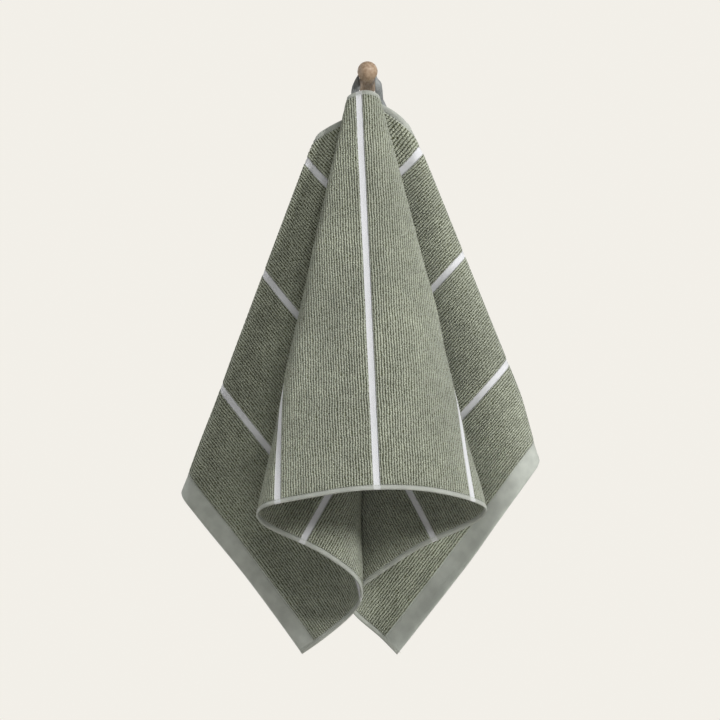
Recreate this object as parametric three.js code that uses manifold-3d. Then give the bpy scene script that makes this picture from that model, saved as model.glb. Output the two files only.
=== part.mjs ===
// A striped terry towel hung by its tape loop on a turned wooden peg.
// Millimetres, +Z up, +X to the right seen from the front, +Y towards the back.
// The origin is the centre of the peg's flat back face, which lies in the plane y = 0.
import * as THREE from "three";
import Module from "manifold-3d";

// The flat towel: s runs along its length from the middle, t runs down from the hung long edge.
const TOWEL_LENGTH = 1000;
const TOWEL_WIDTH = 500;
const PILE_THICKNESS = 3;
const HEM_WIDTH = 6;
const HEM_THICKNESS = 2.4;
const BORDER_WIDTH = 24;
const BORDER_THICKNESS = 1.8;
const RUN_OUT = 2;

// The drape: the flap lies on a cone, and beyond its fold each half lies on a second cone.
// Both cones hold the ruling where they meet, so the cloth keeps its lengths.
const HUNG_S = 6;
const FLAP_APEX = new THREE.Vector3(-6.4, -19.8, 63.1);
const FLAP_GAP = 84.5;
const CENTRE_TURN = 2.6;
const CENTRE_LEAN = 20.1;
const SECTION_STEP = 0.05;
const BACK_ARC = 40;
const SHOULDER_FROM = 100;
const SHOULDER_RUN = 480;

// The loop pulls the upper edge up under the peg, and the right wing's top beside it.
const EDGE_LIFT = { up: 6, until: 70 };
const WING_LIFT = { from: 55, until: 125 };

// The right end hangs askew: the cloth reaches further at its lower corner, and the outer fold
// is drawn in towards its foot, over the last degrees of the wing.
const SKEW_FROM = 375;
const SKEW_T = { top: 150, low: 500 };
const FOOT_DRAW = { from: 430, until: 530, arc: 12 };

// The lower hem hangs lower at the flap's folds than in its middle: crest and end in degrees.
const HEM_DROP = { middle: 6, from: 100, crest: 15.5, end: 27 };

// The right wing rolls forward before its outer fold: degrees before and after the wing's end.
const WING_ROLL = { from: -14, crest: -3, until: 7 };

// One row for each face or fold, from the centre outwards: its arc on the cone and its turn, in degrees.
const LEFT_HALF = {
  side: -1,
  apexShift: 37.4,
  shoulderTop: 16.5,
  shoulderLow: 8.5,
  wingLift: { x: 6, z: 0 },
  endSkew: 0,
  footDraw: 0,
  hemDrop: 11,
  wingRoll: 0,
  legs: [
    { name: "flap", arc: 12.6, turn: 27, columns: 5 },
    { name: "flap fold", arc: 9.4, turn: 164, columns: 11 },
    { name: "second layer", arc: 3.5, turn: -13, columns: 2 },
    { name: "inner fold", arc: 13.7, turn: -155, columns: 11 },
    { name: "wing", arc: 17.7, turn: -36, columns: 6 },
    { name: "outer fold", arc: 4, turn: 192, columns: 12 },
  ],
};
const RIGHT_HALF = {
  side: 1,
  apexShift: 51.8,
  shoulderTop: 17.4,
  shoulderLow: -8.3,
  wingLift: { x: -11, z: 16 },
  endSkew: 7,
  footDraw: 9,
  hemDrop: 14,
  wingRoll: 0.07,
  legs: [
    { name: "flap", arc: 13, turn: 60, columns: 6 },
    { name: "flap fold", arc: 4.8, turn: 102, columns: 8 },
    { name: "second layer", arc: 14, turn: -11, columns: 4 },
    { name: "inner fold", arc: 9.1, turn: -161, columns: 11 },
    { name: "wing", arc: 22.1, turn: 12, columns: 6 },
    { name: "outer fold", arc: 4, turn: 178, columns: 12 },
  ],
};
const FLAP_LEGS = 2;
const WING_LEG = 4;

// The grid of the towel's solid.
const BODY_ROWS = 12;
const BACK_COLUMNS = 6;
const LAST_COLUMN_DROP = 12;
const HEM_SHARE = 0.6;
const BORDER_SHARE = 0.15;
const CORNER_START = 80;
const SLOPE_STEP = 0.4;

// The peg: radius by the distance from its back face along its axis.
const PEG_TILT = 9.2;
const PEG_SEGMENTS = 40;
const BALL_RADIUS = 12.3;
const BALL_CENTRE = 62.8;
const BALL_STEPS = 14;
const PEG_START = -6;
const NECK = [
  { along: 0, radius: 10.6 },
  { along: 16, radius: 10.2 },
  { along: 34, radius: 9.6 },
  { along: 52, radius: 9.2 },
];

// The loop: a flat tape sewn behind the upper hem and carried over the peg's neck.
const TAPE_WIDTH = 10;
const TAPE_THICKNESS = 1.2;
const SEAT = 0.6;
const TAPE_ALONG = 41;
const TAPE_WRAP = 170;
const TAPE_WRAP_STEP = 20;
const TAPE_STEPS = 68;
const TAPE_CORNERS = [[-1, -1], [1, -1], [1, 1], [-1, 1]];

// Each strand leaves the neck's side, twists and is sewn behind the hem, at a slant in the flat towel.
// The left one turns its inner face forwards, the right one its outer face.
const TAPE_STRANDS = {
  left: {
    beside: { side: -1, out: 13, drop: 10, forward: -1.7 },
    sewn: { turn: -1, s: HUNG_S - 14, slant: 0, overlap: 13, rise: 4 },
  },
  right: {
    beside: { side: 1, out: 13.4, drop: 10, forward: 1.7 },
    sewn: { turn: 1, s: HUNG_S + 58, slant: 1.6, overlap: 6.5, rise: 2 },
  },
};

const TERRY = { color: 0x868a79, roughness: 0.95 };
const TAPE = { color: 0x8d918a, roughness: 0.9 };
const WOOD = { color: 0xa6917a, roughness: 0.6 };

const radians = THREE.MathUtils.degToRad;
const mix = THREE.MathUtils.lerp;
const smooth = THREE.MathUtils.smoothstep;

// Sideways and forward angles of the cone's rulings, in radians, at even steps of the cone angle.
function sectionOf(half) {
  const angles = [{ turn: radians(CENTRE_TURN), lean: radians(CENTRE_LEAN) }];
  let heading = 0;
  for (const leg of [...half.legs, { arc: BACK_ARC, turn: 0 }]) {
    const steps = Math.round(leg.arc / SECTION_STEP);
    const step = radians(SECTION_STEP);
    for (let i = 0; i < steps; i++) {
      const along = radians(heading + (leg.turn * (i + 0.5)) / steps);
      const last = angles[angles.length - 1];
      const lean = last.lean - step * Math.sin(along);
      const turn = last.turn + (half.side * step * Math.cos(along)) / Math.cos((last.lean + lean) / 2);
      angles.push({ turn, lean });
    }
    heading += leg.turn;
  }
  return angles;
}

function ruling(turn, lean) {
  const level = Math.cos(lean);
  return new THREE.Vector3(Math.sin(turn) * level, -Math.sin(lean), -Math.cos(turn) * level);
}

function arcsUpTo(half, count) {
  return half.legs.slice(0, count).reduce((sum, leg) => sum + leg.arc, 0);
}

function rulingAt(half, angle) {
  const place = angle / SECTION_STEP;
  const first = Math.min(Math.floor(place), half.section.length - 2);
  const low = half.section[first];
  const high = half.section[first + 1];
  const part = Math.min(place - first, 1);
  return ruling(mix(low.turn, high.turn, part), mix(low.lean, high.lean, part));
}

// The second cone's apex, in the flat towel and in space.
for (const half of [LEFT_HALF, RIGHT_HALF]) {
  half.section = sectionOf(half);
  half.meeting = arcsUpTo(half, FLAP_LEGS);
  half.flatApex = {
    s: half.apexShift * Math.sin(radians(half.meeting)),
    t: half.apexShift * Math.cos(radians(half.meeting)) - FLAP_GAP,
  };
  half.apex = FLAP_APEX.clone().addScaledVector(rulingAt(half, half.meeting), half.apexShift);
}
const FLAT_FLAP_APEX = { s: 0, t: -FLAP_GAP };

function towelPoint(s, t) {
  const half = s < HUNG_S ? LEFT_HALF : RIGHT_HALF;
  const skew = half.endSkew * smooth(t, SKEW_T.top, SKEW_T.low);
  const reach = Math.abs(s - HUNG_S) + skew * smooth(Math.abs(s), SKEW_FROM, TOWEL_LENGTH / 2);
  const beyond = Math.atan2(reach, t + FLAP_GAP) > radians(half.meeting);
  const flat = beyond ? half.flatApex : FLAT_FLAP_APEX;
  const radius = Math.hypot(reach - flat.s, t - flat.t);
  const angle = THREE.MathUtils.radToDeg(Math.atan2(reach - flat.s, t - flat.t));
  const edge = 1 - smooth(angle, 0, arcsUpTo(half, FLAP_LEGS + 1));
  const edgeLift = EDGE_LIFT.up * edge * (1 - smooth(t, 0, EDGE_LIFT.until));
  const hang = rulingAt(half, angle);
  const point = hang.clone().multiplyScalar(radius - edgeLift);
  point.add(beyond ? half.apex : FLAP_APEX);
  const towardsFold = mix(HEM_DROP.middle, half.hemDrop, smooth(angle, 0, HEM_DROP.crest));
  const onFlap = 1 - smooth(angle, HEM_DROP.crest, HEM_DROP.end);
  const hemDrop = towardsFold * onFlap * smooth(t, HEM_DROP.from, TOWEL_WIDTH);
  point.y += hang.y * hemDrop;
  point.z += hang.z * hemDrop;
  const wing = smooth(angle, arcsUpTo(half, WING_LEG - 1), arcsUpTo(half, WING_LEG + 1));
  const down = (radius - SHOULDER_FROM) / SHOULDER_RUN;
  point.x += half.side * wing * mix(half.shoulderTop, half.shoulderLow, down);
  const wingEnd = arcsUpTo(half, WING_LEG + 1);
  const nearFold = smooth(angle, wingEnd - FOOT_DRAW.arc, wingEnd);
  const foot = smooth(radius, FOOT_DRAW.from, FOOT_DRAW.until);
  point.x -= half.side * half.footDraw * nearFold * foot;
  const crest = wingEnd + WING_ROLL.crest;
  const rise = smooth(angle, wingEnd + WING_ROLL.from, crest);
  const fall = smooth(angle, crest, wingEnd + WING_ROLL.until);
  point.y -= half.wingRoll * radius * rise * (1 - fall);
  const wingTop = smooth(angle, arcsUpTo(half, FLAP_LEGS), arcsUpTo(half, WING_LEG));
  const wingLift = wingTop * (1 - smooth(radius, WING_LIFT.from, WING_LIFT.until));
  point.x += half.wingLift.x * wingLift;
  point.z += half.wingLift.z * wingLift;
  return point;
}

// The normal on the striped face that looks forward on the flap.
function towelNormal(s, t) {
  const alongS = towelPoint(s + SLOPE_STEP, t).sub(towelPoint(s - SLOPE_STEP, t));
  const alongT = towelPoint(s, t + SLOPE_STEP).sub(towelPoint(s, t - SLOPE_STEP));
  return alongS.cross(alongT).negate().normalize();
}

function thicknessAt(s, t) {
  const toEnd = TOWEL_LENGTH / 2 - Math.abs(s);
  const toHem = Math.min(t, TOWEL_WIDTH - t);
  const hem = mix(HEM_THICKNESS, PILE_THICKNESS, smooth(toHem, HEM_WIDTH, HEM_WIDTH + RUN_OUT));
  return mix(BORDER_THICKNESS, hem, smooth(toEnd, BORDER_WIDTH, BORDER_WIDTH + RUN_OUT));
}

// The flat line of a ruling: s along the half from the hung point, at a given t, and the other way round.
function flatRuling(half, angle) {
  const apex = angle > half.meeting ? half.flatApex : FLAT_FLAP_APEX;
  const slope = Math.tan(radians(angle));
  const offset = half.side * HUNG_S;
  return {
    sAt: (t) => offset + apex.s + (t - apex.t) * slope,
    tAt: (s) => apex.t + (s - offset - apex.s) / slope,
  };
}

// Where a ruling meets the inner line of the lower hem or end border, and the edge beyond it.
// Near the corner the edge points spread evenly, so that one column runs into the corner itself.
function lowerEdge(half, angle) {
  const { sAt, tAt } = flatRuling(half, angle);
  const { s: apexS, t: apexT } = half.flatApex;
  const offset = half.side * HUNG_S;
  const halfLength = TOWEL_LENGTH / 2;
  const hemT = TOWEL_WIDTH - HEM_WIDTH;
  const borderS = halfLength - BORDER_WIDTH;
  const inner = { s: Math.min(sAt(hemT), borderS), t: hemT };
  const outer = { s: sAt(TOWEL_WIDTH), t: TOWEL_WIDTH };
  if (inner.s === borderS) {
    const start = hemT - CORNER_START;
    const spread = (halfLength - offset - apexS) / (borderS - offset - apexS);
    inner.t = tAt(borderS);
    outer.s = halfLength;
    outer.t = tAt(halfLength);
    const corner = (inner.t - start) / CORNER_START;
    if (corner > 0) outer.t = mix(apexT + (start - apexT) * spread, TOWEL_WIDTH, corner);
  } else if (inner.s > borderS - CORNER_START) {
    const start = borderS - CORNER_START;
    const spread = (TOWEL_WIDTH - apexT) / (hemT - apexT);
    const startOut = offset + apexS + (start - offset - apexS) * spread;
    outer.s = mix(startOut, halfLength, (inner.s - start) / CORNER_START);
  }
  return { inner, outer };
}

// The flat points down one column of the grid, from the upper edge to the outer edge.
function columnPoints(half, top, inner, outer) {
  const alongColumn = (f) => ({ s: mix(top.s, inner.s, f), t: mix(top.t, inner.t, f) });
  const length = Math.hypot(inner.s - top.s, inner.t - top.t);
  const drop = inner.t - top.t;
  const first = Math.min((HEM_WIDTH + RUN_OUT) / drop, HEM_SHARE);
  const last = 1 - RUN_OUT / length;
  const points = [top, alongColumn((first * HEM_WIDTH) / (HEM_WIDTH + RUN_OUT))];
  for (let i = 0; i <= BODY_ROWS; i++) points.push(alongColumn(mix(first, last, i / BODY_ROWS)));
  points.push(inner, outer);
  return points.map((point) => ({ s: half.side * point.s, t: point.t }));
}

// The angle of the ruling that meets the inner corner of the lower hem and end border.
function cornerAngle(half) {
  const reach = TOWEL_LENGTH / 2 - BORDER_WIDTH - half.side * HUNG_S - half.flatApex.s;
  const drop = TOWEL_WIDTH - HEM_WIDTH - half.flatApex.t;
  return THREE.MathUtils.radToDeg(Math.atan2(reach, drop));
}

// Columns on the rulings as far as the outer fold, then a fan over the back layer to its corner.
function halfColumns(half) {
  const angles = [0, cornerAngle(half)];
  let angle = 0;
  for (const leg of half.legs) {
    for (let i = 0; i < leg.columns; i++) {
      angle += leg.arc / leg.columns;
      angles.push(angle);
    }
  }
  angles.sort((a, b) => a - b);
  const columns = angles.map((turned) => {
    const { inner, outer } = lowerEdge(half, turned);
    return columnPoints(half, { s: flatRuling(half, turned).sAt(0), t: 0 }, inner, outer);
  });
  const halfLength = TOWEL_LENGTH / 2;
  const topStart = flatRuling(half, angle).sAt(0);
  const lowStart = lowerEdge(half, angle).outer.t;
  for (let i = 1; i <= BACK_COLUMNS; i++) {
    const f = i / BACK_COLUMNS;
    const top = { s: mix(topStart, halfLength, f), t: 0 };
    const outer = { s: halfLength, t: mix(lowStart, LAST_COLUMN_DROP, f) };
    const toBorder = Math.min(BORDER_WIDTH / Math.max(halfLength - top.s, 1), BORDER_SHARE);
    const inner = { s: mix(outer.s, top.s, toBorder), t: mix(outer.t, top.t, toBorder) };
    columns.push(columnPoints(half, top, inner, outer));
  }
  return columns;
}

// A closed sheet: two faces offset from the draped surface, joined round the edge.
function sheetGeometry(columns) {
  const rows = columns[0].length;
  const count = columns.length * rows;
  const positions = [];
  for (const face of [0.5, -0.5]) {
    for (const column of columns) {
      for (const { s, t } of column) {
        const offset = face * thicknessAt(s, t);
        positions.push(...towelPoint(s, t).addScaledVector(towelNormal(s, t), offset).toArray());
      }
    }
  }
  const at = (column, row) => column * rows + row;
  const indices = [];
  const addQuad = (a, b, c, d) => indices.push(a, b, c, a, c, d);
  for (let i = 0; i < columns.length - 1; i++) {
    for (let j = 0; j < rows - 1; j++) {
      const corners = [at(i, j), at(i, j + 1), at(i + 1, j + 1), at(i + 1, j)];
      addQuad(...corners);
      addQuad(...corners.map((k) => k + count).reverse());
    }
  }
  const rim = [];
  for (let j = 0; j < rows - 1; j++) rim.push([at(0, j), at(0, j + 1)]);
  for (let i = 0; i < columns.length - 1; i++) rim.push([at(i, rows - 1), at(i + 1, rows - 1)]);
  for (let j = rows - 1; j > 0; j--) rim.push([at(columns.length - 1, j), at(columns.length - 1, j - 1)]);
  for (let i = columns.length - 1; i > 0; i--) rim.push([at(i, 0), at(i - 1, 0)]);
  for (const [a, b] of rim) addQuad(b, a, a + count, b + count);
  const geometry = new THREE.BufferGeometry();
  geometry.setAttribute("position", new THREE.Float32BufferAttribute(positions, 3));
  geometry.setIndex(indices);
  return geometry;
}

// The peg's axis runs forwards and up.
const pegAxis = new THREE.Vector3(0, -Math.cos(radians(PEG_TILT)), Math.sin(radians(PEG_TILT)));
const pegUp = new THREE.Vector3(0, Math.sin(radians(PEG_TILT)), Math.cos(radians(PEG_TILT)));
const pegAcross = new THREE.Vector3(1, 0, 0);

function neckRadius(along) {
  let i = 0;
  while (i < NECK.length - 2 && NECK[i + 1].along < along) i++;
  const span = NECK[i + 1].along - NECK[i].along;
  return mix(NECK[i].radius, NECK[i + 1].radius, (along - NECK[i].along) / span);
}

const wasm = await Module();
wasm.setup();

// The turned peg, cut flat at its back.
function pegGeometry() {
  const neckEnd = NECK[NECK.length - 1].radius;
  const profile = [new THREE.Vector2(0, PEG_START), new THREE.Vector2(neckRadius(PEG_START), PEG_START)];
  for (const { along, radius } of NECK) profile.push(new THREE.Vector2(radius, along));
  const meeting = Math.asin(neckEnd / BALL_RADIUS);
  for (let i = 0; i <= BALL_STEPS; i++) {
    const angle = mix(Math.PI - meeting, 0, i / BALL_STEPS);
    const radius = i === BALL_STEPS ? 0 : BALL_RADIUS * Math.sin(angle);
    profile.push(new THREE.Vector2(radius, BALL_CENTRE + BALL_RADIUS * Math.cos(angle)));
  }
  const lathe = new THREE.LatheGeometry(profile, PEG_SEGMENTS);
  const place = new THREE.Matrix4().makeBasis(pegAcross, pegAxis, pegUp.clone().negate());
  lathe.applyMatrix4(place);
  return trimmedAtBack(lathe);
}

function trimmedAtBack(geometry) {
  const flat = geometry.toNonIndexed();
  const mesh = new wasm.Mesh({
    numProp: 3,
    vertProperties: flat.getAttribute("position").array,
    triVerts: Uint32Array.from({ length: flat.getAttribute("position").count }, (_, i) => i),
  });
  mesh.merge();
  const cut = new wasm.Manifold(mesh).trimByPlane([0, -1, 0], 0).getMesh();
  const trimmed = new THREE.BufferGeometry();
  const positions = [];
  for (let i = 0; i < cut.numVert; i++) {
    positions.push(...cut.vertProperties.slice(i * cut.numProp, i * cut.numProp + 3));
  }
  trimmed.setAttribute("position", new THREE.Float32BufferAttribute(positions, 3));
  trimmed.setIndex([...cut.triVerts]);
  return trimmed;
}

// Stations along the tape: a point on its middle line and the way its outer face looks.
function tapeStations() {
  const neck = neckRadius(TAPE_ALONG - TAPE_WIDTH / 2);
  const radius = neck + SEAT + TAPE_THICKNESS / 2;
  const middle = pegAxis.clone().multiplyScalar(TAPE_ALONG);
  const onNeck = (degrees) => {
    const outward = pegAcross.clone().multiplyScalar(Math.cos(radians(degrees)));
    outward.addScaledVector(pegUp, Math.sin(radians(degrees)));
    return { point: middle.clone().addScaledVector(outward, radius), face: outward };
  };
  const onHem = (s, t, turn) => {
    const face = towelNormal(s, t);
    const point = towelPoint(s, t);
    const rise = (side) => towelPoint(s + (side * TAPE_WIDTH) / 2, t).sub(point).dot(face);
    const hollow = Math.max(0, -rise(-1), -rise(1));
    const away = PILE_THICKNESS / 2 + SEAT + TAPE_THICKNESS / 2 + hollow;
    return { point: point.addScaledVector(face, -away), face: face.multiplyScalar(turn) };
  };
  const beside = ({ side, out, drop, forward }) => {
    const face = pegAcross.clone().multiplyScalar(side).addScaledVector(pegAxis, forward);
    const point = middle.clone().addScaledVector(pegAcross, side * out);
    return { point: point.addScaledVector(pegUp, -drop), face: face.normalize() };
  };
  const strand = (end) => {
    const { turn, s, slant, overlap, rise } = end.sewn;
    const rows = [overlap, overlap / 2, 0, -rise];
    return [...rows.map((t) => onHem(s + slant * t, t, turn)), beside(end.beside)];
  };
  const stations = strand(TAPE_STRANDS.left);
  for (let degrees = TAPE_WRAP; degrees >= 180 - TAPE_WRAP; degrees -= TAPE_WRAP_STEP) {
    stations.push(onNeck(degrees));
  }
  stations.push(...strand(TAPE_STRANDS.right).reverse());
  return stations;
}

// A flat tape swept through its stations, turning smoothly from one facing to the next.
function tapeGeometry() {
  const stations = tapeStations();
  const path = new THREE.CatmullRomCurve3(stations.map((station) => station.point), false, "centripetal");
  const facing = new THREE.CatmullRomCurve3(stations.map((station) => station.face), false, "centripetal");
  const sides = TAPE_CORNERS.length;
  const positions = [];
  const indices = [];
  for (let i = 0; i <= TAPE_STEPS; i++) {
    const point = path.getPoint(i / TAPE_STEPS);
    const tangent = path.getTangent(i / TAPE_STEPS);
    const across = facing.getPoint(i / TAPE_STEPS).cross(tangent).normalize();
    const face = tangent.clone().cross(across);
    for (const [u, v] of TAPE_CORNERS) {
      const corner = point.clone().addScaledVector(across, (u * TAPE_WIDTH) / 2);
      positions.push(...corner.addScaledVector(face, (v * TAPE_THICKNESS) / 2).toArray());
    }
    if (i === TAPE_STEPS) continue;
    for (let k = 0; k < sides; k++) {
      const a = i * sides + k;
      const b = i * sides + ((k + 1) % sides);
      indices.push(a, b, b + sides, a, b + sides, a + sides);
    }
  }
  const end = TAPE_STEPS * sides;
  indices.push(0, 2, 1, 0, 3, 2, end, end + 1, end + 2, end, end + 2, end + 3);
  const geometry = new THREE.BufferGeometry();
  geometry.setAttribute("position", new THREE.Float32BufferAttribute(positions, 3));
  geometry.setIndex(indices);
  return geometry;
}

function makePart(name, geometry, finish) {
  geometry.computeVertexNormals();
  const mesh = new THREE.Mesh(geometry, new THREE.MeshStandardMaterial(finish));
  mesh.name = name;
  return mesh;
}

const towelColumns = [...halfColumns(LEFT_HALF).reverse(), ...halfColumns(RIGHT_HALF).slice(1)];
const part = new THREE.Group();
part.name = "towel_on_peg";
part.add(makePart("towel", sheetGeometry(towelColumns), TERRY));
part.add(makePart("hanging_loop", tapeGeometry(), TAPE));
part.add(makePart("peg", pegGeometry(), WOOD));

export default part;
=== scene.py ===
"""A striped terry towel hung by its tape loop on a turned wooden peg.

Metres, +Z up, +X to the right seen from the front, +Y to the back. The flat towel has s along its
length from the middle and t down from the hung long edge.
"""
import functools
import math

import bpy
import numpy as np
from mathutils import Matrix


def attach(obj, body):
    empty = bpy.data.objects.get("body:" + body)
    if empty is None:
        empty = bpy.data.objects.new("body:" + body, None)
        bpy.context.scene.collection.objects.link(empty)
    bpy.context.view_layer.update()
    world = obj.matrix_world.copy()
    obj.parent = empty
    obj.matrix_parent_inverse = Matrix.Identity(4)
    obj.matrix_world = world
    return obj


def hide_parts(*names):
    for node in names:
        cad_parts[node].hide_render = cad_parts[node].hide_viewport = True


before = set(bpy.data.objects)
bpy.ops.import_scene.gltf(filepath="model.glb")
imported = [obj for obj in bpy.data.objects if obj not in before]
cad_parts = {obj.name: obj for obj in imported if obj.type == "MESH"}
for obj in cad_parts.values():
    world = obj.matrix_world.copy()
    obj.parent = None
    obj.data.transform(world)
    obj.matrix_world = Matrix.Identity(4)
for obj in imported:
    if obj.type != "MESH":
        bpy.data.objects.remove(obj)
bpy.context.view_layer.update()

# The flat towel.
TOWEL_LENGTH = 1.0
TOWEL_WIDTH = 0.5
HALF_LENGTH = TOWEL_LENGTH / 2
PILE_THICKNESS = 0.003
STRIPE_THICKNESS = 0.002
STRIPE_WIDTH = 0.0080
STRIPE_EDGE = 0.0012
# The stripes' places along the length, a little wider apart towards the ends.
STRIPES = [-0.378, -0.248, -0.120, -0.002, 0.120, 0.246, 0.379]
HEM_WIDTH = 0.006
BORDER_WIDTH = 0.024
RIB_PITCH = 0.003125
LOOP_PITCH = 0.0015

# Thickness by the distance from the edge, across a hem and across an end border.
HEM_PROFILE = [
    {"inward": 0.0009, "thick": 0.0020},
    {"inward": 0.0026, "thick": 0.0027},
    {"inward": 0.0044, "thick": 0.0024},
    {"inward": 0.0058, "thick": 0.0014},
    {"inward": 0.0076, "thick": 0.0030},
]
BORDER_PROFILE = [
    {"inward": 0.0009, "thick": 0.0016},
    {"inward": 0.0040, "thick": 0.0019},
    {"inward": 0.0225, "thick": 0.0018},
    {"inward": 0.0240, "thick": 0.0013},
    {"inward": 0.0256, "thick": 0.0030},
]
EDGE_INSET = HEM_PROFILE[0]["inward"]

# The grid of the towel's mesh.
COLUMN_STEP = 0.0036
UPPER_ROW_STEP = 0.0026
LOWER_ROW_STEP = 0.0038
UPPER_ROWS_END = 0.12

# The drape: the flap lies on a cone, and beyond its fold each half lies on a second cone.
HUNG_S = 0.006
FLAP_APEX = np.array([-0.0064, -0.0198, 0.0631])
FLAP_GAP = 0.0845
CENTRE_TURN = math.radians(2.6)
CENTRE_LEAN = math.radians(20.1)
SECTION_STEP = math.radians(0.05)
BACK_LEG = {"name": "back layer", "arc": 40, "turn": 0}
# Small shifts that bring the cones to the real folds, and where each one starts and ends.
SHOULDER_FROM = 0.1
SHOULDER_RUN = 0.48
EDGE_LIFT = {"up": 0.006, "until": 0.07}
WING_LIFT = {"from": 0.055, "until": 0.125}
SKEW_FROM = 0.375
SKEW_T = {"top": 0.15, "low": 0.5}
FOOT_DRAW = {"from": 0.43, "until": 0.53, "arc": math.radians(12)}
HEM_DROP = {"middle": 0.006, "from": 0.1, "crest": math.radians(15.5), "end": math.radians(27)}
END_CURL = {"from": 0.468, "bend": 1.3}
WING_ROLL = {"from": math.radians(-14), "crest": math.radians(-3), "until": math.radians(7)}
LEFT_HALF = {
    "side": -1,
    "apex_shift": 0.0374,
    "shoulder_top": 0.0165,
    "shoulder_low": 0.0085,
    "wing_lift": {"x": 0.006, "z": 0},
    "end_skew": 0,
    "end_curl": {"forward": -0.010, "fade": math.radians(8), "flat": 0},
    "foot_draw": 0,
    "hem_drop": 0.011,
    "wing_roll": 0,
    "legs": [
        {"name": "flap", "arc": 12.6, "turn": 27},
        {"name": "flap fold", "arc": 9.4, "turn": 164},
        {"name": "second layer", "arc": 3.5, "turn": -13},
        {"name": "inner fold", "arc": 13.7, "turn": -155},
        {"name": "wing", "arc": 17.7, "turn": -36},
        {"name": "outer fold", "arc": 4, "turn": 192},
    ],
}
RIGHT_HALF = {
    "side": 1,
    "apex_shift": 0.0518,
    "shoulder_top": 0.0174,
    "shoulder_low": -0.0083,
    "wing_lift": {"x": -0.011, "z": 0.016},
    "end_skew": 0.007,
    "end_curl": {"forward": 0.020, "fade": math.radians(13), "flat": math.radians(4)},
    "foot_draw": 0.009,
    "hem_drop": 0.014,
    "wing_roll": 0.07,
    "legs": [
        {"name": "flap", "arc": 13, "turn": 60},
        {"name": "flap fold", "arc": 4.8, "turn": 102},
        {"name": "second layer", "arc": 14, "turn": -11},
        {"name": "inner fold", "arc": 9.1, "turn": -161},
        {"name": "wing", "arc": 22.1, "turn": 12},
        {"name": "outer fold", "arc": 4, "turn": 178},
    ],
}
FLAP_LEGS = 2
WING_LEG = 4
SLOPE_STEP = 0.0004

# Soft unevenness of the hanging cloth, as waves over the flat towel.
WAVES = [
    {"along": 0.21, "down": 0.34, "start": 0.4, "height": 0.0011},
    {"along": 0.13, "down": -0.27, "start": 1.9, "height": 0.0008},
    {"along": 0.083, "down": 0.16, "start": 3.1, "height": 0.0005},
]
WAVES_START = 0.1
WAVES_FULL = 0.3

# The peg: radius by the distance from its back face along its axis.
PEG_TILT = math.radians(9.2)
PEG_SEGMENTS = 96
BALL_RADIUS = 0.0123
BALL_CENTRE = 0.0628
BALL_STEPS = 40
NECK = [
    {"along": -0.002, "radius": 0.0106},
    {"along": 0.0, "radius": 0.0106},
    {"along": 0.016, "radius": 0.0102},
    {"along": 0.034, "radius": 0.0096},
    {"along": 0.052, "radius": 0.0092},
]
NECK_STEP = 0.002

# The loop: a flat tape sewn behind the upper hem and carried over the peg's neck.
TAPE_WIDTH = 0.010
TAPE_THICKNESS = 0.0012
TAPE_SEAT = 0.0006
TAPE_ALONG = 0.041
TAPE_WRAP = 170
TAPE_WRAP_STEP = 20
TAPE_STEPS = 160
LEFT_STRAND = {
    "side": -1, "turn": -1, "out": 0.013, "drop": 0.01, "forward": -1.7,
    "s": HUNG_S - 0.014, "slant": 0, "overlap": 0.013, "rise": 0.004,
}
RIGHT_STRAND = {
    "side": 1, "turn": 1, "out": 0.0134, "drop": 0.01, "forward": 1.7,
    "s": HUNG_S + 0.058, "slant": 1.6, "overlap": 0.0065, "rise": 0.002,
}

# Thread: lengths along and across a stitch.
STITCH_LENGTH = 0.0026
STITCH_PITCH = 0.0034
STITCH_RADIUS = 0.00028
STITCH_SIDES = 6
HEM_STITCH_INWARD = 0.0047
BORDER_STITCH_INWARD = 0.0218
TACK_STITCHES = 7
TACK_WIDTH = 0.005
TACK_START = 0.002
TACK_INWARD = 0.0105
# The shape of one stitch: places along it, with the radius and the arch in thread radii.
STITCH_STATIONS = [
    {"along": 0.0, "radius": 0.25, "arch": -0.6},
    {"along": 0.2, "radius": 0.9, "arch": 0.35},
    {"along": 0.5, "radius": 1.0, "arch": 0.6},
    {"along": 0.8, "radius": 0.9, "arch": 0.35},
    {"along": 1.0, "radius": 0.25, "arch": -0.6},
]

# The view: the distance from the plane y = 0, and the width of that plane that fills the frame.
CAMERA_DISTANCE = 2.5
VIEW_WIDTH = 0.903
VIEW_CENTRE_X = -0.0092
VIEW_CENTRE_Z = -0.3429
SENSOR_WIDTH = 36
FLOOR_DROP = 2.2
FLOOR_RADIUS = 5.0
FLOOR_SIDES = 96
FLOOR_COLOUR = (0.78, 0.76, 0.72)

# Soft lights round the object: degrees right of the camera and above the horizon, size and power.
LIGHT_DISTANCE = 3.0
LIGHT_TARGET = np.array([0, -0.1, -0.35])
LIGHTS = [
    {"name": "key", "right": 45, "above": 23, "size": 0.6, "power": 74},
    {"name": "high", "right": 18, "above": 48, "size": 0.9, "power": 30},
    {"name": "low_side", "right": 80, "above": -14, "size": 0.85, "power": 3},
    {"name": "low", "right": 0, "above": -14, "size": 0.85, "power": 10},
    {"name": "low_left", "right": -82, "above": -14, "size": 0.85, "power": 12},
    {"name": "rear_right", "right": 125, "above": 25, "size": 1.4, "power": 8},
    {"name": "rear_left", "right": -114, "above": 22, "size": 1.4, "power": 30},
]
WORLD_DIM = 0.03
WORLD_PALE = (0.89, 0.865, 0.81)
# The pale field behind the object, by the backward part of the direction: where it starts and is full.
FIELD_START = 0.55
FIELD_FULL = 0.93


def smooth(value, low, high):
    part = np.clip((value - low) / (high - low), 0, 1)
    return part * part * (3 - 2 * part)


def mix(low, high, part):
    return low + (high - low) * part


# The draped surface.


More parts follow.
